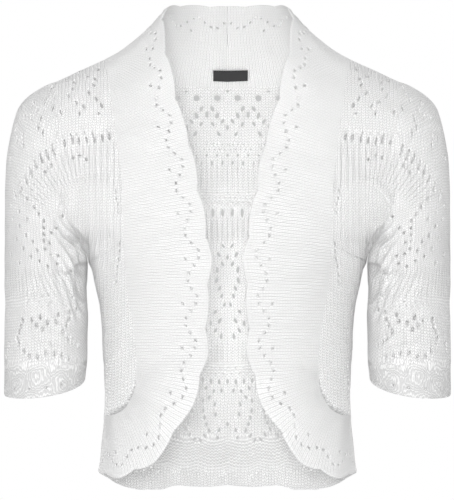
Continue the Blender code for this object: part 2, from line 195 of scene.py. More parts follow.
def band_grid(rows, columns):
    along = np.linspace(0, band_lengths()[-1], rows + 1)[:, None]
    across = np.linspace(0, 1, columns + 1)[None, :]
    width = np.linalg.norm(band_point(along, 0 * along) - band_seam(along), axis=-1)
    across = across - (1 - across) ** 3 * scallops(along) / width
    return band_point(along + 0 * across, across)


def lengths_along(grid, axis):
    """Distance in millimetres from a grid's first row or column to each of its points."""
    steps = np.linalg.norm(np.diff(grid, axis=axis), axis=-1)
    start = np.zeros_like(np.take(steps, [0], axis=axis))
    return np.concatenate([start, np.cumsum(steps, axis=axis)], axis=axis)


# Knitted cloth. A sheet is a grid of points. Its chart gives each point a place in the lace pattern, in millimetres
# across and up, and each hole is an ellipse on that chart: cells inside it are left out, and the points round it are
# drawn onto it.

WALL_SHOWN = 1.7
EDGE_ROUND = 0.5
RIM_SWELL = 0.35
RIM_ANGLE = 62
WALE = 3.5
COURSE = 2.9
MARKS = ("purl", "rib", "rib_number")


def nearest_holes(across, up, holes):
    """For each place, the distance to the nearest hole's edge (negative inside) and the step onto that edge."""
    gap = np.full(across.shape, 99.0)
    step_across, step_up = np.zeros_like(gap), np.zeros_like(gap)
    for centre, height, half_width, half_length, lean in holes:
        away, over = across - centre, up - height
        turn, tip = math.cos(lean), math.sin(lean)
        ratio = np.hypot((away * turn + over * tip) / half_width, (over * turn - away * tip) / half_length)
        ratio = np.maximum(ratio, 0.05)
        reach = np.where(ratio > 0.06, np.hypot(away, over) * (1 - 1 / ratio), -half_width)
        nearer = reach < gap
        gap = np.where(nearer, reach, gap)
        step_across = np.where(nearer, away * (1 / ratio - 1), step_across)
        step_up = np.where(nearer, over * (1 / ratio - 1), step_up)
    return gap, step_across, step_up


def centres(values):
    return 0.25 * (values[:-1, :-1] + values[1:, :-1] + values[:-1, 1:] + values[1:, 1:])


def open_cells(across, up, holes, margin=2):
    """Which cells the holes leave out. The smallest hole takes one cell, and none comes near the sheet's edge."""
    middle_across, middle_up = centres(across), centres(up)
    opened = nearest_holes(middle_across, middle_up, holes)[0] < 0
    for centre, height, *_ in holes:
        away = np.hypot(middle_across - centre, middle_up - height)
        nearest = np.unravel_index(np.argmin(away), away.shape)
        opened[nearest] |= away[nearest] < 1.3
    inside = np.zeros_like(opened)
    inside[margin:-margin, margin:-margin] = True
    opened &= inside
    for _ in range(4):
        block = opened[:-1, :-1], opened[1:, 1:], opened[1:, :-1], opened[:-1, 1:]
        falling = block[0] & block[1] & ~block[2] & ~block[3]
        rising = ~block[0] & ~block[1] & block[2] & block[3]
        opened[1:, :-1] |= falling
        opened[:-1, :-1] |= rising
    return opened & inside


def grid_steps(across, up, holes):
    """Distance to the nearest hole's edge, and the way onto it counted in the grid's own columns and rows."""
    gap, step_across, step_up = nearest_holes(across, up, holes)
    across_down, across_side = np.gradient(across)
    up_down, up_side = np.gradient(up)
    area = across_side * up_down - across_down * up_side
    area = np.where(np.abs(area) < 0.2, np.where(area < 0, -0.2, 0.2), area)
    side = np.clip((step_across * up_down - step_up * across_down) / area, -0.7, 0.7)
    down = np.clip((step_up * across_side - step_across * up_side) / area, -0.7, 0.7)
    return gap, side, down


ALL_EDGES = ("top", "bottom", "inner", "outer")


def lace_sheet(grid, across, up, holes, lift, stitch=None, marks=(), round_edges=ALL_EDGES):
    """One sheet of knitted cloth as arrays. across and up chart its holes, stitch its wales and courses when those
    run another way, lift is its relief, and marks say where it is purled or ribbed and number the ribs."""
    opened = open_cells(across, up, holes)
    gap, side, down = grid_steps(across, up, holes)
    stitch = stitch or (across, up)
    touched = np.zeros(gap.shape, int)
    for rows in (slice(0, -1), slice(1, None)):
        for columns in (slice(0, -1), slice(1, None)):
            touched[rows, columns] += opened
    rim = (touched > 0) & (touched < 4)
    down_step, side_step = np.gradient(grid, axis=0), np.gradient(grid, axis=1)
    points = grid + rim[..., None] * (side_step * side[..., None] + down_step * down[..., None])
    thin = rim.astype(float)
    for edge, cut in (("top", (0, slice(None))), ("bottom", (-1, slice(None)))):
        thin[cut] = np.maximum(thin[cut], edge in round_edges)
    for edge, cut in (("inner", (slice(None), 0)), ("outer", (slice(None), -1))):
        thin[cut] = np.maximum(thin[cut], edge in round_edges)
    swell = RIM_SWELL * np.exp(-(((gap - 1.5) / 1.1) ** 2)) * (1 - thin)
    rows, columns = gap.shape
    number = np.arange(rows * columns).reshape(rows, columns)
    cells = np.stack([number[:-1, :-1], number[1:, :-1], number[1:, 1:], number[:-1, 1:]], -1)[~opened]
    sheet = {
        "points": points.reshape(-1, 3),
        "cells": cells,
        "stitch": np.stack([stitch[0] / WALE, stitch[1] / COURSE], -1).reshape(-1, 2),
        "lift": (lift + swell).ravel(),
        "swell": swell.ravel(),
        "thin": thin.ravel(),
    }
    for mark in MARKS:
        sheet[mark] = (dict(marks).get(mark, 0.0) + 0 * gap).ravel()
    return sheet


def knit_object(name, sheets, finish):
    """Joins sheets along the edges they share and gives them the thickness of the cloth."""
    starts = np.cumsum([0] + [len(sheet["points"]) for sheet in sheets])
    joined = {key: np.concatenate([sheet[key] for sheet in sheets]) for key in sheets[0] if key != "cells"}
    cells = np.concatenate([sheet["cells"] + start for sheet, start in zip(sheets, starts)])
    _, first, same = np.unique(
        np.round(joined["points"], 2), axis=0, return_index=True, return_inverse=True
    )
    same = same.ravel()
    loose_cells = cells
    cells = same[cells]
    whole = np.array([len(set(cell)) > 2 for cell in cells.tolist()])
    cells, loose_cells = cells[whole], loose_cells[whole]
    used, cells_used = np.unique(cells, return_inverse=True)
    cells = cells_used.reshape(cells.shape)
    first = first[used]
    points = joined["points"][first]
    corner = points[cells]
    face_normal = np.cross(corner[:, 2] - corner[:, 0], corner[:, 3] - corner[:, 1])
    normal = np.zeros_like(points)
    for k in range(4):
        np.add.at(normal, cells[:, k], face_normal)
    normal /= np.maximum(np.linalg.norm(normal, axis=1, keepdims=True), 1e-9)
    lift, swell, thin = (joined[key][first][:, None] for key in ("lift", "swell", "thin"))
    outer = points + normal * (lift - thin * EDGE_ROUND)
    inner = points + normal * (lift - 2 * swell - WALL_SHOWN + thin * EDGE_ROUND)
    far = len(points)
    edges = {}
    for cell in cells.tolist():
        for k in range(4):
            pair = (cell[k], cell[(k + 1) % 4])
            if pair[::-1] in edges:
                del edges[pair[::-1]]
            elif pair[0] != pair[1]:
                edges[pair] = True
    rim = np.array([(b, a, far + a, far + b) for a, b in edges])
    stitch = joined["stitch"]
    own_stitch = stitch[first]
    corners, stitches = [], []
    for cell, loose in zip(cells.tolist(), loose_cells.tolist()):
        kept = [k for k in range(4) if cell[k] != cell[k - 1]]
        corners.append([cell[k] for k in kept])
        stitches.append(stitch[[loose[k] for k in kept]])
    inner_corners = [[far + v for v in reversed(cell)] for cell in corners]
    inner_stitches = [places[::-1] for places in stitches]
    mesh = bpy.data.meshes.new(name)
    mesh.from_pydata((np.concatenate([outer, inner]) * MM).tolist(), [], corners + inner_corners + rim.tolist())
    places = np.concatenate(stitches + inner_stitches + [own_stitch[(rim % far).ravel()]])
    mesh.uv_layers.new(name="stitches").data.foreach_set("uv", places.astype(np.float32).ravel())
    for key in MARKS:
        values = np.tile(joined[key][first], 2).astype(np.float32)
        mesh.attributes.new(key, "FLOAT", "POINT").data.foreach_set("value", values)
    mesh.materials.append(finish)
    mesh.shade_smooth()
    mesh.set_sharp_from_angle(angle=math.radians(RIM_ANGLE))
    piece = bpy.data.objects.new(name, mesh)
    bpy.context.collection.objects.link(piece)
    return piece


def mirrored(piece, name):
    """The same piece on the wearer's other side."""
    twin = bpy.data.objects.new(name, piece.data.copy())
    twin.data.name = name
    places = np.zeros(len(twin.data.vertices) * 3, np.float32)
    twin.data.vertices.foreach_get("co", places)
    places[0::3] *= -1
    twin.data.vertices.foreach_set("co", places)
    twin.data.flip_normals()
    bpy.context.collection.objects.link(twin)
    return twin


def unevenness(points, size=0.5):
    """The slow waviness of worn knitted cloth, in millimetres."""
    x, y, z = np.abs(points[..., 0]), points[..., 1], points[..., 2]
    slow = np.sin(x / 17.0 + z / 41.0 + y / 29.0) + np.sin(x / 31.0 - z / 23.0 + 1.3)
    quick = np.sin(x / 7.1 + z / 12.3 + 0.4) * np.sin(z / 8.7 - x / 15.1 + y / 11.0)
    return size * (0.35 * slow + 0.3 * quick)


def knit_group():
    """Stitches from a chart of stitch numbers: slanting legs, ridges where purled, and grooves between ribs, and a
    mask of painted shade for the hollows between strands, the grooves between ribs and the gaps between purled ridges.
    """
    group = bpy.data.node_groups.new("knit_stitches", "ShaderNodeTree")
    group.interface.new_socket("Stitch", in_out="INPUT", socket_type="NodeSocketVector")
    for name in ("Purl", "Rib", "Rib_number", "Slant"):
        group.interface.new_socket(name, in_out="INPUT", socket_type="NodeSocketFloat")
    for name in ("Height", "Hollow_shade"):
        group.interface.new_socket(name, in_out="OUTPUT", socket_type="NodeSocketFloat")
    nodes, links = group.nodes, group.links
    given, made = nodes.new("NodeGroupInput"), nodes.new("NodeGroupOutput")
    split = nodes.new("ShaderNodeSeparateXYZ")
    links.new(given.outputs["Stitch"], split.inputs[0])

    def calc(kind, *values):
        node = nodes.new("ShaderNodeMath")
        node.operation = kind
        for socket, value in zip(node.inputs, values):
            if isinstance(value, (int, float)):
                socket.default_value = value
            else:
                links.new(value, socket)
        return node.outputs[0]

    def blend(first, second, share):
        return calc("MULTIPLY_ADD", calc("SUBTRACT", second, first), share, first)

    wale, course = split.outputs["X"], split.outputs["Y"]
    from_side = calc("MULTIPLY", calc("PINGPONG", wale, 0.5), 2.0)
    leg = calc("MULTIPLY_ADD", from_side, LEG_SLANT, course)
    strand = calc("SUBTRACT", 1.0, calc("MULTIPLY", calc("PINGPONG", leg, 0.5), 2.0))
    strand = calc("SUBTRACT", 1.0, calc("POWER", strand, 2.0))
    side_valley = calc("MINIMUM", calc("MULTIPLY_ADD", from_side, 3.2, 0.25), 1.0)
    middle_valley = calc("MULTIPLY", calc("MAXIMUM", calc("SUBTRACT", from_side, 0.8), 0.0), 2.2)
    body = calc("MULTIPLY", side_valley, calc("SUBTRACT", 1.0, middle_valley))
    gap = calc("MULTIPLY", calc("SUBTRACT", 1.0, strand), given.outputs["Slant"])
    plain = calc("MULTIPLY", body, calc("SUBTRACT", 1.0, gap))
    wave = calc("MULTIPLY", calc("COSINE", calc("MULTIPLY", wale, 2 * math.pi)), 0.16)
    ridge = calc("MULTIPLY", calc("PINGPONG", calc("MULTIPLY_ADD", course, 0.92, wave), 0.5), 2.0)
    ridge = calc("POWER", ridge, 1.5)
    bead = calc("MULTIPLY_ADD", calc("COSINE", calc("MULTIPLY", wale, 4 * math.pi)), 0.3, 0.7)
    stitch = blend(plain, calc("MULTIPLY", ridge, bead), given.outputs["Purl"])
    broad = calc("MULTIPLY", calc("PINGPONG", given.outputs["Rib_number"], 0.5), 2.0)
    valley = calc("MULTIPLY", calc("POWER", calc("SUBTRACT", 1.0, broad), 3.0), given.outputs["Rib"])
    valley = calc("MULTIPLY", valley, calc("MULTIPLY_ADD", strand, -0.35, 0.95))
    links.new(calc("SUBTRACT", stitch, valley), made.inputs["Height"])
    # Painted shade: the colour is darkened in the hollows between strands, in the grooves between ribs and, more, in
    # the gaps between purled ridges.
    hollow = calc("MULTIPLY_ADD", valley, 0.45, calc("SUBTRACT", 1.0, stitch))
    between = calc("MULTIPLY", calc("SUBTRACT", 1.0, ridge), given.outputs["Purl"])
    links.new(calc("MULTIPLY_ADD", between, 0.5, hollow), made.inputs["Hollow_shade"])
    return group


LEG_SLANT = 0.8
KNIT = knit_group()
STITCH_RELIEF = 1.0 * MM


def knit_material(name, crest, hollow, roughness, loose, slant):
    """Soft white yarn: painted shade makes the hollows between its strands darker, and no two stitches sit quite
    alike.
    """
    finish = bpy.data.materials.new(name)
    finish.use_nodes = True
    nodes, links = finish.node_tree.nodes, finish.node_tree.links
    shader = nodes["Principled BSDF"]
    shader.inputs["Roughness"].default_value = roughness
    shader.inputs["Specular IOR Level"].default_value = 0.2
    shader.inputs["Sheen Weight"].default_value = 0.15
    shader.inputs["Sheen Roughness"].default_value = 0.6
    place = nodes.new("ShaderNodeTexCoord")
    chart = nodes.new("ShaderNodeUVMap")
    chart.uv_map = "stitches"
    where = chart.outputs["UV"]
    for scale, amount in ((55.0, 0.9), (420.0, 0.3)):
        pull = nodes.new("ShaderNodeTexNoise")
        pull.inputs["Scale"].default_value = scale
        links.new(place.outputs["Object"], pull.inputs["Vector"])
        move = nodes.new("ShaderNodeVectorMath")
        move.operation = "MULTIPLY_ADD"
        move.inputs[1].default_value = (amount * loose, amount * loose, 0.0)
        links.new(pull.outputs["Color"], move.inputs[0])
        links.new(where, move.inputs[2])
        where = move.outputs[0]
    knit = nodes.new("ShaderNodeGroup")
    knit.node_tree = KNIT
    knit.inputs["Slant"].default_value = slant
    links.new(where, knit.inputs["Stitch"])
    for mark in MARKS:
        read = nodes.new("ShaderNodeAttribute")
        read.attribute_name = mark
        links.new(read.outputs["Fac"], knit.inputs[mark.capitalize()])
    fibres = nodes.new("ShaderNodeTexNoise")
    fibres.inputs["Scale"].default_value = 900.0
    fibres.inputs["Detail"].default_value = 3.0
    links.new(place.outputs["Object"], fibres.inputs["Vector"])
    # Painted shade: the colour is mixed from the crest colour towards the darker hollow colour by the shade mask of
    # the stitches.
    painted_shade_tone = nodes.new("ShaderNodeMixRGB")
    painted_shade_tone.inputs["Color1"].default_value = (*crest, 1.0)
    painted_shade_tone.inputs["Color2"].default_value = (*hollow, 1.0)
    links.new(knit.outputs["Hollow_shade"], painted_shade_tone.inputs["Fac"])
    links.new(painted_shade_tone.outputs["Color"], shader.inputs["Base Color"])
    total = nodes.new("ShaderNodeMath")
    total.operation = "MULTIPLY_ADD"
    total.inputs[1].default_value = 0.3
    links.new(fibres.outputs["Fac"], total.inputs[0])
    links.new(knit.outputs["Height"], total.inputs[2])
    bump = nodes.new("ShaderNodeBump")
    bump.inputs["Strength"].default_value = 1.0
    bump.inputs["Distance"].default_value = STITCH_RELIEF
    links.new(total.outputs[0], bump.inputs["Height"])
    links.new(bump.outputs["Normal"], shader.inputs["Normal"])
    return finish


# The hollow colours are painted shade for the hollows and grooves of the knit.
SOFT_KNIT = knit_material("soft_knit", crest=(0.85, 0.85, 0.848), hollow=(0.64, 0.64, 0.64), roughness=0.95, loose=1.1, slant=0.4)
LACE_KNIT = knit_material("lace_knit", crest=(0.97, 0.97, 0.968), hollow=(0.56, 0.56, 0.56), roughness=0.95, loose=1.6, slant=0.8)

BAND_CELL = 1.55
EYELET_STEPS = 6
EYELET_NEAR, EYELET_FAR = 11.0, 24.0
EYELET = (0.95, 2.1)
EYELET_LEAN = 0.6

band = band_grid(round(band_lengths()[-1] / BAND_CELL), 56)
band_in = lengths_along(band, 1)
band_along = np.linspace(0, band_lengths()[-1], band.shape[0])[:, None] + 0 * band_in


def band_eyelets():
    """The chain runs in and out once in each scallop, with one more eyelet inside each turn towards the edge."""
    holes = []
    step = SCALLOP_LENGTH / EYELET_STEPS
    for k in range(int(band_lengths()[-1] / step)):
        along = 4.0 + k * step
        turn = (along / SCALLOP_LENGTH - 0.82) % 1.0
        inward = 1 - abs(2 * turn - 1)
        holes.append((EYELET_NEAR + (EYELET_FAR - EYELET_NEAR) * inward, along, *EYELET, EYELET_LEAN))
        if k % EYELET_STEPS == 5:
            holes.append((EYELET_FAR + 3.0, along, *EYELET, EYELET_LEAN))
    return holes


border = 0.6 * np.exp(-(((band_in - 2.5) / 2.0) ** 2))
band_sheet = lace_sheet(
    band,
    band_in,
    band_along,
    band_eyelets(),
    border + unevenness(band, 0.6),
    stitch=(band_along * WALE / 3.2, band_in),
    round_edges=("inner",),
)
band_left = knit_object("band_left_knit", [band_sheet], SOFT_KNIT)
for side, strip in (("left", band_left), ("right", mirrored(band_left, "band_right_knit"))):
    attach(strip, "root")
    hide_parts("band_" + side)

# The sleeves
# Each is one tube of lace that starts on the armhole and ends in an open cuff at the elbow. The rows bend down towards
# the outside of the arm, and the cloth gathers in soft folds where it turns under the arm.

SLEEVE_COLUMNS = ("inner_x", "inner_height", "outer_x", "outer_height", "start_degrees", "depth")
SLEEVE = (
    (172, -22.5, 212.8, -60, 90, 0),
    (171.5, -27, 214.5, -66, 89, 18),
    (171, -36, 216.5, -74, 87, 33),
    (170, -50, 219, -86, 84, 45),
    (169, -70, 221, -102, 80, 52),
    (168, -95, 222, -122, 77, 56),
    (167, -120, 222.3, -143, 74, 57.5),
    (165, -145, 222.5, -164, 68, 57),
    (156, -165, 222.8, -184, 53, 56),
    (145, -184, 223, -203, 30, 55),
    (138.5, -203, 223, -222, 0, 54),
    (139.5, -228, 222, -243, 0, 52.5),
    (140, -252, 222.5, -265, 0, 51.5),
    (140, -275, 223, -288, 0, 51),
    (140.5, -298, 223.3, -311, 0, 50.5),
    (142.5, -319, 223.8, -335, 0, 50),
)
SLEEVE_SAG = 11.0
BACK_SLEEVE_FULLER = 1.04
ARMPIT_RING = 10.0
ARMPIT_HEIGHT = -203.0
ARMPIT_EASE = 1.3

ARCH = ((127, -118), (138, -120.5), (146, -122.6), (154, -128.7), (161, -137), (166.5, -145), (168.5, -152), (169, -158))
FOLDS_FRONT = (
    (3.6, 7.0, (143, -186), (143.5, -212), (146, -244)),
    (2.6, 2.4, (166, -156), (160, -166), (150, -172), (141, -190)),
    (3.0, 2.6, (170, -160), (162, -176), (151, -184), (141.5, -204)),
    (2.2, 2.2, (173, -170), (163, -184), (152, -196), (142, -216)),
    (3.0, 2.4, (160, -190), (152, -204), (147, -222), (143, -240)),
    (2.6, 2.2, (164, -196), (156, -212), (151, -230), (145, -250)),
    (2.0, 2.4, (169, -204), (161, -222), (156, -238), (148, -262)),
    (1.6, 3.0, (179, -178), (170, -200), (168, -222), (158, -252)),
    (1.2, 3.4, (188, -216), (176, -244), (166, -262)),
)
FOLDS_BACK = (
    (3.0, 7.0, (144, -190), (145, -216), (147, -248)),
    (2.8, 2.8, (168, -160), (158, -176), (142, -198)),
    (2.4, 2.6, (173, -172), (161, -190), (142.5, -214)),
    (2.8, 2.6, (166, -192), (155, -214), (145, -244)),
    (2.0, 3.0, (176, -196), (163, -226), (150, -262)),
)


def line_away(x, height, points):
    """Distance from each place, seen from the front, to a line through some points, and how far along that is."""
    points = np.array(points, float)
    lengths = np.concatenate([[0], np.cumsum(np.linalg.norm(np.diff(points, axis=0), axis=1))])
    away, share = np.full(x.shape, 999.0), np.zeros(x.shape)
    for start, end, at in zip(points, points[1:], lengths):
        run = end - start
        part = np.clip(((x - start[0]) * run[0] + (height - start[1]) * run[1]) / run.dot(run), 0, 1)
        reach = np.hypot(x - start[0] - part * run[0], height - start[1] - part * run[1])
        nearer = reach < away
        away = np.where(nearer, reach, away)
        share = np.where(nearer, (at + part * np.linalg.norm(run)) / lengths[-1], share)
    return away, share


def from_armhole(x, height):
    knots = column(SLEEVE, SLEEVE_COLUMNS, "inner_height")
    return np.abs(x - smooth(knots, column(SLEEVE, SLEEVE_COLUMNS, "inner_x"), height))


def pressed_in(x, height, folds):
    """How deep soft folds press the cloth in. Each has its depth and width, then the points that it runs through."""
    depth = np.zeros_like(x)
    held = within(height, -225, -165, 5.0) * np.exp(-((from_armhole(x, height) / 4.0) ** 2))
    for deep, wide, *points in folds:
        away, share = line_away(x, height, points)
        crest = 0.35 * deep * np.exp(-(((away - 1.9 * wide) / wide) ** 2))
        depth += 1.45 * np.sin(math.pi * (0.04 + 0.92 * share)) ** 0.6 * (deep * np.exp(-((away / wide) ** 2)) - crest)
    return depth * (1 - held)


def arch_relief(away):
    """Height of the raised double line that arches over the arm, at a distance from its middle."""
    return 1.1 * np.exp(-(((away - 1.7) / 0.9) ** 2)) - 0.7 * np.exp(-(((away - 4.2) / 1.3) ** 2))


def seam_ease(x, height):
    """The two cloths swell together along the armhole, so that no line shows between them."""
    return 4.0 * within(height, -140, -50, 8.0) * np.exp(-from_armhole(x, height) / 16.0)


def sleeve_ring(ring, around, side):
    """Points of half a sleeve: ring counts rows of the table, and around goes from the body (0) to outside (1)."""
    rows = np.arange(len(SLEEVE), dtype=float)
    read = {name: smooth(rows, column(SLEEVE, SLEEVE_COLUMNS, name), ring) for name in SLEEVE_COLUMNS}
    start = np.radians(read["start_degrees"])
    radius = (read["outer_x"] - read["inner_x"]) / (1 + np.cos(start))
    angle = start + (math.pi - start) * around
    x = read["outer_x"] - radius - radius * np.cos(angle)
    x = x + ARMPIT_EASE * np.exp(-((ring - ARMPIT_RING) ** 2)) * (1 - around) ** 3
    depth = read["depth"] * (BACK_SLEEVE_FULLER if side == BACK else 1)
    y = side * depth * np.sin(angle)
    body_y = torso_y(read["inner_x"], read["inner_height"], side)
    y = y + (body_y - side * depth * np.sin(start)) * (1 - around) ** 3
    sag = SLEEVE_SAG * (ring / rows[-1]) ** 2 * np.sin(math.pi * around)
    height = read["inner_height"] + (read["outer_height"] - read["inner_height"]) * around**1.3 - sag
    return np.stack([x, y + side * seam_ease(x, height), height], -1)


def sleeve_grid(columns, rows, side):
    around = np.linspace(0, 1, columns + 1)[None, :]
    fine = np.linspace(0, len(SLEEVE) - 1, 300)[:, None]
    steps = np.linalg.norm(np.diff(sleeve_ring(fine, 0.5 + 0 * fine, side)[:, 0], axis=0), axis=-1)
    length = np.concatenate([[0], np.cumsum(steps)])
    ring = np.interp(np.linspace(0, length[-1], rows + 1), length, fine[:, 0])[:, None]
    return sleeve_ring(ring + 0 * around, around + 0 * ring, side)


def heights_on_cloth(grid, level):
    """Height of each point as measured along the cloth from the level where the patterns of all pieces agree."""
    down = lengths_along(grid, 0)
    height = grid[..., 2]
    at_level = np.array([np.interp(-level, -height[:, j], down[:, j]) for j in range(grid.shape[1])])
    return level + at_level[None, :] - down


SHOULDER_HOLES = (
    *((98.5, 69.5), (106, 72), (79, 73), (88, 76), (96, 80), (67, 81), (75, 83), (94, 86), (53, 88), (73.5, 90)),
    *((110, 91), (50.5, 94), (90, 94), (69, 97), (97, 100), (46, 102), (76.5, 103), (103, 106), (84, 107.5)),
    *((54, 108), (62, 113), (80.6, 114.5), (100.5, 114.7), (25, 117), (32, 117), (42, 118), (39, 128), (44, 134)),
    *((24, 137), (18, 139), (24, 146), (11, 159), (34, 104), (38, 111), (16, 128)),
)
ARC_SLOTS = (
    *((117, 136.6), (109.7, 137), (102.5, 138.7), (95.4, 140), (88, 140.7), (80, 141.7), (72.7, 141.7), (65.8, 143.3)),
    *((60, 146), (54.6, 151.4), (48.8, 156.5), (42.7, 160), (37, 167), (32, 174), (27.3, 182), (22.5, 190), (17, 198)),
)
SMALL_HOLES = (
    *((73.7, 157.6), (80.6, 155.5), (63.8, 164.5), (51.8, 165.7), (46.4, 172.3), (88, 160), (35, 208), (40, 214.6)),
    *((67, 209), (64, 216), (45, 220.5), (45.5, 227.7)),
    *((45, 234), (45, 241), (46.4, 248.6), (26.8, 235), (33.3, 242), (38.3, 250), (41, 261), (49.4, 265.6)),
    *((59, 256), (58, 263.6), (57, 228.7), (20, 226), (14, 219), (12, 205), (20, 212), (28, 219), (9, 232)),
    *((17, 240), (24, 248), (31, 256), (12, 255), (20, 263), (52, 232), (51, 243), (52, 254), (28, 200), (21, 192)),
)
CUFF_SLOTS = (
    *((60, 314), (57.5, 321), (71, 312.6), (70, 318.5), (68, 324), (64.7, 331), (69, 337), (74, 341.7), (78.4, 344.7)),
    *((78.4, 308.7), (49, 321.5), (44, 329.6), (38, 325.5), (41.6, 316), (32.4, 319), (23.3, 319), (21.6, 325.5)),
    *((19.6, 332), (17.6, 338.5), (19.6, 345), (24, 350.6), (30, 354.7), (39, 357), (9.8, 344), (8.5, 350.5)),
    *((7.2, 357), (5, 363), (47, 352), (56, 352), (63, 354), (70, 358)),
)
CUFF_HOLES = ((47.7, 387), (62.5, 384), (14.4, 388.5), (30, 388), (77, 383))
PICTURE_MIDDLE, PICTURE_BASE = 227.5, 60.0


def seen_from_front(grid, across, up, spots, width, length, lean=0.0):
    """Holes at places read off the picture, in millimetres from its left and its top edge."""
    holes = []
    for left, down in spots:
        away = np.hypot(grid[..., 0] - (PICTURE_MIDDLE - left), grid[..., 2] - (PICTURE_BASE - down))
        at = np.unravel_index(np.argmin(away), away.shape)
        if away[at] < 2.0:
            holes.append((across[at], up[at], width / 2, length / 2, lean))
    return holes


def yoke_holes(grid, across, up):
    """The lace that runs over the shoulder and round the arm, on the sleeve and on the front panel alike."""
    dots = [(left - 1.8, down - 6.2) for left, down in ARC_SLOTS]
    return (
        seen_from_front(grid, across, up, SHOULDER_HOLES, 2.5, 6.6, -0.35)
        + seen_from_front(grid, across, up, ARC_SLOTS[:8], 2.6, 8.6, -0.15)
        + seen_from_front(grid, across, up, ARC_SLOTS[8:], 2.8, 8.6, -0.45)
        + seen_from_front(grid, across, up, dots, 1.9, 2.2)
        + seen_from_front(grid, across, up, SMALL_HOLES, 2.7, 4.0, -0.25)
    )


ARMPIT = (137.5, -180.0)
RIB_PITCH = 6.2


def yoke_ribs(grid):
    """Ribs that run from the slots on the shoulder towards the armpit: their numbers, and where they show."""
    x, height = np.abs(grid[..., 0]), grid[..., 2]
    angle = np.arctan2(x - ARMPIT[0], np.maximum(height - ARMPIT[1], 1.0))
    number = np.where(x > ARMPIT[0], 95.0 * angle, x - ARMPIT[0]) / RIB_PITCH
    reach = np.hypot(x - ARMPIT[0], height - ARMPIT[1])
    drop = 46.0 * np.clip((x - 112) / 88.5, 0, 1.15) ** 3
    share = 0.85 * within(height + drop, -300, -84) * within(height, -190, 90, 15.0) * within(reach, 56, 200) * within(angle, -9, 1.0, 0.1)
    return number, np.where(x < 150, np.maximum(share, 0.4 * within(height, -205, -88, 6.0)), share)


LEAF_COLUMNS = ("across", "down", "width", "length", "lean")
LEAF = (
    (4.5, 0, 2.6, 5.5, -0.5),
    (9, 9, 3, 7, -0.45),
    (0, 12, 2.8, 6, 0),
    (5, 19, 2.6, 6, -0.4),
    (10.5, 25, 3, 7.5, 0),
    (11, 36, 3, 7.5, 0.15),
    (8, 44, 2.8, 6.5, 0.35),
    (6, 52, 2.6, 5.5, 0.3),
    (3, 61, 2.6, 5, 0.3),
)


def rows_of_holes(table, reach):
    """Straight rows of holes, from the seam or centre line to a distance on each side of it."""
    holes = []
    for height, pitch, shift, width, length in table:
        for k in range(-int(reach / pitch) - 1, int(reach / pitch) + 2):
            holes.append((k * pitch + shift, height, width / 2, length / 2, 0.0))
    return holes


def leaves(centre_columns, top, bottom, pitch, size=1.0):
    """Leaf-shaped outlines of holes, each row of leaves set half a repeat along from the last."""
    holes = []
    long = LEAF[-1][1] + 7.5
    row = 0
    while top - row * long * size > bottom:
        for k in centre_columns:
            middle = (k + 0.5 * (row % 2)) * pitch
            for across, down, width, length, lean in LEAF:
                height = top - (row * long + down) * size
                if height > bottom:
                    for way in (-1, 1) if across else (1,):
                        holes.append((middle + way * across * size, height, width * size / 2, length * size / 2, way * lean))
        row += 1
    return holes


def within(height, low, high, soft=3.0):
    """1 between two heights and 0 outside them, with a soft change."""
    return 1 / (1 + np.exp(-(height - low) / soft * 2)) / (1 + np.exp((height - high) / soft * 2))


SLEEVE_ROWS = 206
SLEEVE_SIDE_COLUMNS = {FRONT: 104, BACK: 80}
FROM_OUTSIDE = 150.0
LOW_RIB_PITCH = 5.0
CURL_START, CURL_PITCH = 58.0, 26.0
NET = [(26 + 6 * k + 3 * (row % 2), 295.5 + 5 * row) for row in range(3) for k in range(10)]
LADDER = [(52, 331 + 5 * k) for k in range(4)]

sleeve_halves = []
for side in (FRONT, BACK):
    half = sleeve_grid(SLEEVE_SIDE_COLUMNS[side], SLEEVE_ROWS, side)
    x, height = half[..., 0], half[..., 2]
    across = FROM_OUTSIDE + lengths_along(half, 1) - lengths_along(half, 1)[:, -1:]
    up = heights_on_cloth(half, -120.0)
    holes = yoke_holes(half, across, up)
    holes += seen_from_front(half, across, up, NET, 1.6, 1.7) + seen_from_front(half, across, up, LADDER, 3.2, 1.6)
    holes += seen_from_front(half, across, up, CUFF_SLOTS, 3.2, 5.6, -0.25)
    holes += seen_from_front(half, across, up, CUFF_HOLES, 2.4, 3.0)
    number, share = yoke_ribs(half)
    share = share * within(height, -186, 90, 2.0)
    lower = 0.75 * within(height, -238, -208, 3.0) + 0.3 * within(height, -291, -252, 2.0)
    slanting = 0.55 * np.clip((200 - x) / 40, 0, 1) * (-212 - height)
    number = np.where(height > -199, number, (across + slanting) / LOW_RIB_PITCH)
    turn = (across - CURL_START) / CURL_PITCH
    swirl = np.hypot(CURL_PITCH * (turn - np.round(turn)), height + 320 + 4.0 * np.cos(math.pi * turn))
    swirl = swirl + 2.2 * np.sin(across / 3.3 + height / 7.0) * np.sin(height / 3.4 - across / 9.0)
    courses = up + 24.0 * (np.clip((x - 112) / 88.5, 0, 1.15) ** 3) * within(height, -190, 90, 25.0)
    curled = within(height, -360, -303, 3.0)
    courses = courses + curled * (swirl - 322 - courses)
    purl = 0.8 * within(height, -360, -306) + 0.3 * within(height, -253, -236)
    folds = FOLDS_FRONT if side == FRONT else FOLDS_BACK
    away, along_arch = line_away(x, height, ARCH)
    arch = arch_relief(away) * within(along_arch, -1, 0.85, 0.08)
    lift = unevenness(half, 0.7) + arch - pressed_in(x, height, folds)
    marks = {"purl": purl, "rib": np.maximum(share, lower), "rib_number": number}
    values = [half, across, up, lift, courses]
    if side == BACK:
        values = [value[:, ::-1] for value in values]
        marks = {name: value[:, ::-1] for name, value in marks.items()}
    half, across, up, lift, courses = values
    sleeve_halves.append(lace_sheet(half, across, up, holes, lift, (across, courses), marks, ("bottom",)))

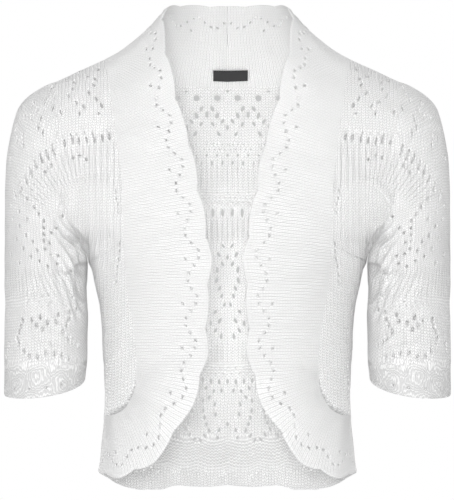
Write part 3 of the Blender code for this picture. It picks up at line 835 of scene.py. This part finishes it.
sleeve_left = knit_object("sleeve_left_knit", sleeve_halves, LACE_KNIT)
for side, tube in (("left", sleeve_left), ("right", mirrored(sleeve_left, "sleeve_right_knit"))):
    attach(tube, "root")
    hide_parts("sleeve_" + side + "_front", "sleeve_" + side + "_back")

# The fronts
# Two narrow panels between the band and the armhole and side seam, knitted in the same rows as the sleeves down to the
# chest and then in plain wales with two short ladders.


def outer_edge(height):
    """Where a body panel ends: on the armhole above the armpit and on the side seam below it."""
    knots = column(SLEEVE, SLEEVE_COLUMNS, "inner_height")
    armhole = smooth(knots, column(SLEEVE, SLEEVE_COLUMNS, "inner_x"), height)
    return np.where(height > ARMPIT_HEIGHT, armhole, torso("half_width", height))


def levels(cells, soft=0.15):
    """Places from 0 to 1 down a panel, close together where the cloth turns over the shoulder."""
    even = np.linspace(0, 1, cells + 1)
    return np.where(even < soft, even**2 / (2 * soft), even - soft / 2) / (1 - soft / 2)


def coons(top, bottom, inner, outer, across, down):
    """Fills a four-sided outline. across runs from inner to outer, and down from top to bottom."""
    w, q = across[None, :, None], down[:, None, None]
    rows = (1 - w) * inner[:, None] + w * outer[:, None]
    columns = (1 - q) * top[None] + q * bottom[None]
    corners = (1 - q) * ((1 - w) * top[0] + w * top[-1]) + q * ((1 - w) * bottom[0] + w * bottom[-1])
    return rows + columns - corners


def turned(x, height):
    """A place seen from the front, as an angle round the torso and a height."""
    return np.stack([np.arcsin(np.clip(x / torso("half_width", height), 0, 1)), height], -1)


def panel_grid(top, bottom, inner, outer, across, down, side):
    """A body panel: its outline is filled on the torso form, and meets the band's seam where that stands off it."""
    flat = [turned(line[:, 0], line[:, 2]) for line in (top, bottom, inner, outer)]
    angle, height = np.moveaxis(coons(*flat, across, down), -1, 0)
    x = torso("half_width", height) * np.sin(angle)
    y = torso_y(x, height, side)
    y = y + (inner[:, 1] - y[:, 0])[:, None] * (1 - across[None, :]) ** 2
    y = y + (top[:, 1] - y[0, :])[None, :] * (1 - down[:, None]) ** 6
    return np.stack([x, y + side * seam_ease(x, height), height], -1)


def line_on_torso(x, height, side):
    return np.stack([x, torso_y(x, height, side), height], -1)


SHOULDER_POINT = 172.0


def front_grid(columns, rows):
    lengths = band_lengths()
    across, down = np.linspace(0, 1, columns + 1), levels(rows)
    shoulder_x = NECK_POINT + (SHOULDER_POINT - NECK_POINT) * across
    top = line_on_torso(shoulder_x, shoulder_line(shoulder_x), FRONT)
    start, corner = lengths[SHOULDER_ROW], lengths[CORNER_ROW]
    seam = band_seam(np.linspace(start, corner, 400))
    fall = (seam[0, 2] - seam[:, 2]) / (seam[0, 2] - seam[-1, 2])
    inner = np.stack([np.interp(down, fall, seam[:, k]) for k in range(3)], -1)
    bottom = band_seam(corner + (lengths[-1] - corner) * across)
    height = top[-1, 2] + (bottom[-1, 2] - top[-1, 2]) * down
    outer = line_on_torso(outer_edge(height), height, FRONT)
    return panel_grid(top, bottom, inner, outer, across, down, FRONT)


SLOT_SPOTS = (
    *((116.5, 191), (117.5, 198), (118.5, 205), (119.5, 212), (120, 244), (119.5, 251.5), (119, 259), (118, 266.5)),
    *((117, 274), (116, 281.5), (108, 366), (107.5, 373.5), (107, 381), (107, 388.5), (107.5, 396), (111, 236)),
)
POCKET_SEAM = 9.0

front = front_grid(44, 240)
x, height = front[..., 0], front[..., 2]
front_across = x - SHOULDER_POINT
front_up = heights_on_cloth(front, -120.0)
holes = yoke_holes(front, front_across, front_up)
holes += seen_from_front(front, front_across, front_up, SLOT_SPOTS, 1.4, 3.4)
number, share = yoke_ribs(front)
away, along_arch = line_away(x, height, ARCH)
arch = arch_relief(away) * within(along_arch, 0.02, 2, 0.02)
from_hem = lengths_along(front, 0)[-1:] - lengths_along(front, 0)
# Along the front's hem seam the cloth is pressed in, and the same mask also paints shade into the colour of that
# recess.
seam_recess_shade = np.exp(-(from_hem / 3.2) ** 2) * within(x, 84, 118, 4.0)
front_sheet = lace_sheet(
    front,
    front_across,
    front_up,
    holes,
    unevenness(front, 0.6) + arch - pressed_in(x, height, FOLDS_FRONT) - POCKET_SEAM * seam_recess_shade,
    stitch=(front_across, front_up + 24.0 * np.clip((x - 112) / 88.5, 0, 1) ** 3),
    # Where the seam is pressed in, the rib mark with rib number 0 paints shade into its colour.
    marks={"rib": np.maximum(share, 1.4 * seam_recess_shade), "rib_number": np.where(seam_recess_shade > 0.08, 0.0, number)},
    round_edges=(),
)
front_left = knit_object("front_left_knit", [front_sheet], LACE_KNIT)
for side, panel in (("left", front_left), ("right", mirrored(front_left, "front_right_knit"))):
    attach(panel, "root")
    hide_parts("front_" + side)

# The back
# One wide panel of lace from the neck seam to its own scalloped border at the hem. Its inside shows between the
# fronts: leaves under the collar, nets, ladders and slots at the waist, and fans above the hem.

BACK_HEM_COLUMNS = ("across", "height")
BACK_HEM = (
    (0, -427),
    (24, -429),
    (52, -427.5),
    (68, -431.3),
    (87, -431.3),
    (100, -429),
    (112, -424.5),
    (121, -418.5),
    (129.6, -413),
)


def back_grid(columns, rows, neck_share=9 / 14):
    """Half of the back, from centre back to the armhole and side seam."""
    neck_columns = round(columns * neck_share)
    across, down = np.linspace(0, 1, columns + 1), levels(rows)
    neck = band_seam(np.linspace(0, band_lengths()[SHOULDER_ROW], neck_columns + 1))
    shoulder_x = np.linspace(NECK_POINT, SHOULDER_POINT, columns - neck_columns + 1)[1:]
    top = np.concatenate([neck, line_on_torso(shoulder_x, shoulder_line(shoulder_x), BACK)])
    hem_x = BACK_HEM[-1][0] * np.sin(across * math.pi / 2)
    knots = column(BACK_HEM, BACK_HEM_COLUMNS, "across")
    bottom = line_on_torso(hem_x, smooth(knots, column(BACK_HEM, BACK_HEM_COLUMNS, "height"), hem_x), BACK)
    inner = line_on_torso(0 * down, top[0, 2] + (bottom[0, 2] - top[0, 2]) * down, BACK)
    height = top[-1, 2] + (bottom[-1, 2] - top[-1, 2]) * down
    outer = line_on_torso(outer_edge(height), height, BACK)
    return panel_grid(top, bottom, inner, outer, across, down, BACK)


BACK_ROWS = (
    (-83, 5.3, 0, 1.8, 1.8),
    (-88, 5.3, 2.65, 1.8, 1.8),
    (-94, 10.6, 0, 2.6, 2.8),
    (-102, 10.6, 5.3, 2, 6.5),
    (-132, 10.6, 0, 2.2, 2.2),
    (-137, 5.3, 2.65, 1.8, 1.8),
    (-142, 5.3, 0, 1.8, 1.8),
    (-152.5, 10, 5, 3, 9.5),
    (-312, 8, 0, 2, 2),
    (-318, 8, 4, 2, 2),
    (-326, 8.4, 0, 2.8, 6),
    (-418, 16, 0, 2.6, 2.4),
    (-422, 16, 8, 2.6, 2.4),
)
NECK_LEAF = (
    (0, 2, 3, 2.6, 0),
    (10.5, 9, 6, 6.4, 0),
    (15.5, 20, 3.4, 7, -0.4),
    (10.5, 27, 3.6, 7, 0.3),
    (21, 26, 3, 6.4, -0.3),
    (5, 33, 3, 6, 0.5),
    (15, 36, 2.8, 6, -0.4),
    (0, 40, 3, 6.4, 0),
    (9, 46, 3, 6.4, -0.5),
)
FAN_COLUMNS = ("across", "down", "lean")
FAN = (
    (0, 36, 0),
    (6, 2, 0.1),
    (14, 3, 0.3),
    (22, 0, 0.5),
    (18.5, 9, 0.5),
    (25, 13, 0.3),
    (24.5, 23, 0),
    (23.5, 30, 0),
    (21.5, 36.5, -0.2),
    (18.5, 43, -0.4),
    (23.5, 48.5, -0.5),
    (28, 53, -0.7),
    (8.5, 42, 0.3),
    (10, 50, -0.2),
    (13, 16, 0.3),
    (12, 26, 0),
)
FAN_TOP, FAN_PITCH = -333.0, 62.0

half = back_grid(94, 240)[:, ::-1]
back = np.concatenate([half, half[:, ::-1][:, 1:] * np.array([-1.0, 1.0, 1.0])], axis=1)
back_across = lengths_along(back, 1)
back_across = back_across[:, back.shape[1] // 2][:, None] - back_across
back_up = heights_on_cloth(back, -120.0)
holes = rows_of_holes(BACK_ROWS, 190) + leaves(range(-6, 7), -187, -287, 34)
for k in range(-5, 6):
    for across, down, width, length, lean in NECK_LEAF:
        for way in (-1, 1) if across else (1,):
            holes.append((k * 42 + way * across, -26 - down, width / 2, length / 2, way * lean))
for k in range(-3, 4):
    for across, down, lean in FAN:
        for way in (-1, 1) if across else (1,):
            holes.append((k * FAN_PITCH + way * across, FAN_TOP - down, 1.3, 2.6, way * lean))
height = back[..., 2]
waves = 3.5 * np.abs(np.sin(2 * math.pi * back_across / FAN_PITCH)) * within(height, -430, -378)
purl = 0.6 * within(back_up, -414, -384) + 0.5 * within(back_up, -321, -308) + 0.4 * within(back_up, -146, -130)
rib = within(back_up, -182, -158) + 0.7 * within(back_up, -129, -98) + 0.5 * within(back_up, -307, -284)
folds = pressed_in(np.abs(back[..., 0]), height, FOLDS_BACK)
back_sheet = lace_sheet(
    back,
    back_across,
    back_up,
    holes,
    unevenness(back, 0.5) - folds,
    stitch=(back_across, back_up + waves),
    marks={"purl": purl, "rib": rib, "rib_number": back_across / 5.3},
    round_edges=("top", "bottom"),
)
back_piece = knit_object("back_knit", [back_sheet], LACE_KNIT)
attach(back_piece, "root")
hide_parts("back")

# The label
# A small plain tab of black woven tape, sewn flat inside the collar at centre back.

LABEL_HALF_WIDTH = 17.5
LABEL_MIDDLE = 3.0
LABEL_SPAN = (0.79, 0.925)


def tape_material(name, colour):
    finish = bpy.data.materials.new(name)
    finish.use_nodes = True
    nodes, links = finish.node_tree.nodes, finish.node_tree.links
    shader = nodes["Principled BSDF"]
    shader.inputs["Base Color"].default_value = (*colour, 1.0)
    shader.inputs["Roughness"].default_value = 0.55
    place = nodes.new("ShaderNodeTexCoord")
    weave = nodes.new("ShaderNodeTexWave")
    weave.inputs["Scale"].default_value = 700.0
    weave.bands_direction = "Z"
    links.new(place.outputs["Object"], weave.inputs["Vector"])
    bump = nodes.new("ShaderNodeBump")
    bump.inputs["Distance"].default_value = 0.1 * MM
    links.new(weave.outputs["Fac"], bump.inputs["Height"])
    links.new(bump.outputs["Normal"], shader.inputs["Normal"])
    return finish


along = LABEL_MIDDLE + np.linspace(-LABEL_HALF_WIDTH, LABEL_HALF_WIDTH, 29)[:, None]
across = np.linspace(*LABEL_SPAN, 9)[None, :]
tab = band_point(np.abs(along) + 0 * across, across + 0 * along)
tab[..., 0] = along + 0 * across
tab[..., 1] -= WALL_SHOWN + 1.4
tab_sheet = lace_sheet(tab, tab[..., 0], tab[..., 2], [], 0 * tab[..., 0])
label = knit_object("neck_tab", [tab_sheet], tape_material("black_tape", (0.012, 0.012, 0.013)))
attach(label, "root")
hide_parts("neck_label")

# The studio
# A pale floor far below the garment, an even white surround, one broad soft light from above and two from the sides,
# and a grey card glowing far behind the garment that paints the shade seen through the holes of the lace.

FLOOR_HEIGHT = -1.25
bpy.ops.mesh.primitive_plane_add(size=24, location=(0, 0, FLOOR_HEIGHT))
floor = bpy.context.object
floor.name = "studio_floor"
bpy.ops.object.transform_apply(location=True, rotation=True, scale=True)
paint = bpy.data.materials.new("pale_floor")
paint.use_nodes = True
paint.node_tree.nodes["Principled BSDF"].inputs["Base Color"].default_value = (0.9, 0.9, 0.9, 1)
paint.node_tree.nodes["Principled BSDF"].inputs["Roughness"].default_value = 0.8
floor.data.materials.append(paint)

world = bpy.data.worlds.new("surround")
bpy.context.scene.world = world
world.use_nodes = True
nodes, links = world.node_tree.nodes, world.node_tree.links
seen = nodes["Background"]
seen.inputs["Color"].default_value = (1, 1, 1, 1)
seen.inputs["Strength"].default_value = 1.0
lighting = nodes.new("ShaderNodeBackground")
lighting.inputs["Color"].default_value = (1, 1, 1, 1)
lighting.inputs["Strength"].default_value = 0.74
which = nodes.new("ShaderNodeLightPath")
choose = nodes.new("ShaderNodeMixShader")
links.new(which.outputs["Is Camera Ray"], choose.inputs["Fac"])
links.new(lighting.outputs[0], choose.inputs[1])
links.new(seen.outputs[0], choose.inputs[2])
links.new(choose.outputs[0], nodes["World Output"].inputs["Surface"])


def soft_light(name, place, aim, size, power):
    lamp = bpy.data.lights.new(name, "AREA")
    lamp.size = size
    lamp.energy = power
    item = bpy.data.objects.new(name, lamp)
    bpy.context.collection.objects.link(item)
    item.location = place
    item.rotation_euler = (aim - item.location).to_track_quat("-Z", "Y").to_euler()
    return item


MIDDLE = Vector((-0.0005, 0, -0.190))
soft_light("key_light", (-0.6, -2.2, 1.2), MIDDLE, 1.2, 12)
soft_light("front_light", (-0.15, -6.0, 0.2), MIDDLE, 0.9, 167)
soft_light("back_light", (0.3, 4.4, 1.2), MIDDLE, 1.6, 70)
chest_light = soft_light("chest_light", (0, -0.05, -0.2), Vector((0, 1, -0.2)), 0.16, 0.15)
chest_light.data.shape = "RECTANGLE"
chest_light.data.size_y = 0.28
chest_light.visible_camera = False
for k, place in enumerate(((0.172, 0, -0.055), (0.186, 0, -0.13), (0.182, 0, -0.22), (0.182, 0, -0.3))):
    for way in (-1, 1):
        lamp = bpy.data.lights.new(f"sleeve_light_{k}", "POINT")
        lamp.energy = 0.035
        lamp.shadow_soft_size = 0.02
        item = bpy.data.objects.new(lamp.name, lamp)
        item.location = (way * place[0], place[1], place[2])
        item.visible_camera = False
        bpy.context.collection.objects.link(item)

LENS = 600.0
SENSOR = 36.0
IMAGE_HEIGHT = 0.5
DISTANCE = IMAGE_HEIGHT * LENS / SENSOR

# Painted shade: a grey card glowing far behind the garment, hidden behind its outline, shows through the holes of the
# lace as their shade.
SHADE_CARD_AWAY = 14.0
SHADE_CARD_OUTLINE = ((-50, 42), (50, 42), (66, -90), (66, -382), (-66, -382), (-66, -90))
spread = (DISTANCE + SHADE_CARD_AWAY) / DISTANCE
corners = [
    (x * MM * spread, SHADE_CARD_AWAY, MIDDLE.z + (height * MM - MIDDLE.z) * spread) for x, height in SHADE_CARD_OUTLINE
]
shade_card_mesh = bpy.data.meshes.new("painted_shade_card")
shade_card_mesh.from_pydata(corners, [], [tuple(range(len(corners)))])
shade_card = bpy.data.objects.new("painted_shade_card", shade_card_mesh)
bpy.context.collection.objects.link(shade_card)
shade_card_paint = bpy.data.materials.new("painted_shade_grey")
shade_card_paint.use_nodes = True
nodes, links = shade_card_paint.node_tree.nodes, shade_card_paint.node_tree.links
shade_glow = nodes.new("ShaderNodeEmission")
shade_glow.inputs["Color"].default_value = (0.58, 0.58, 0.58, 1)
links.new(shade_glow.outputs[0], nodes["Material Output"].inputs["Surface"])
shade_card_mesh.materials.append(shade_card_paint)

lens = bpy.data.cameras.new("camera")
lens.lens = LENS
lens.sensor_width = SENSOR
lens.clip_end = 100
camera = bpy.data.objects.new("camera", lens)
bpy.context.collection.objects.link(camera)
camera.location = MIDDLE + Vector((0, -DISTANCE, 0))
camera.rotation_euler = (math.pi / 2, 0, 0)
bpy.context.scene.camera = camera
bpy.context.scene.view_settings.view_transform = "Standard"
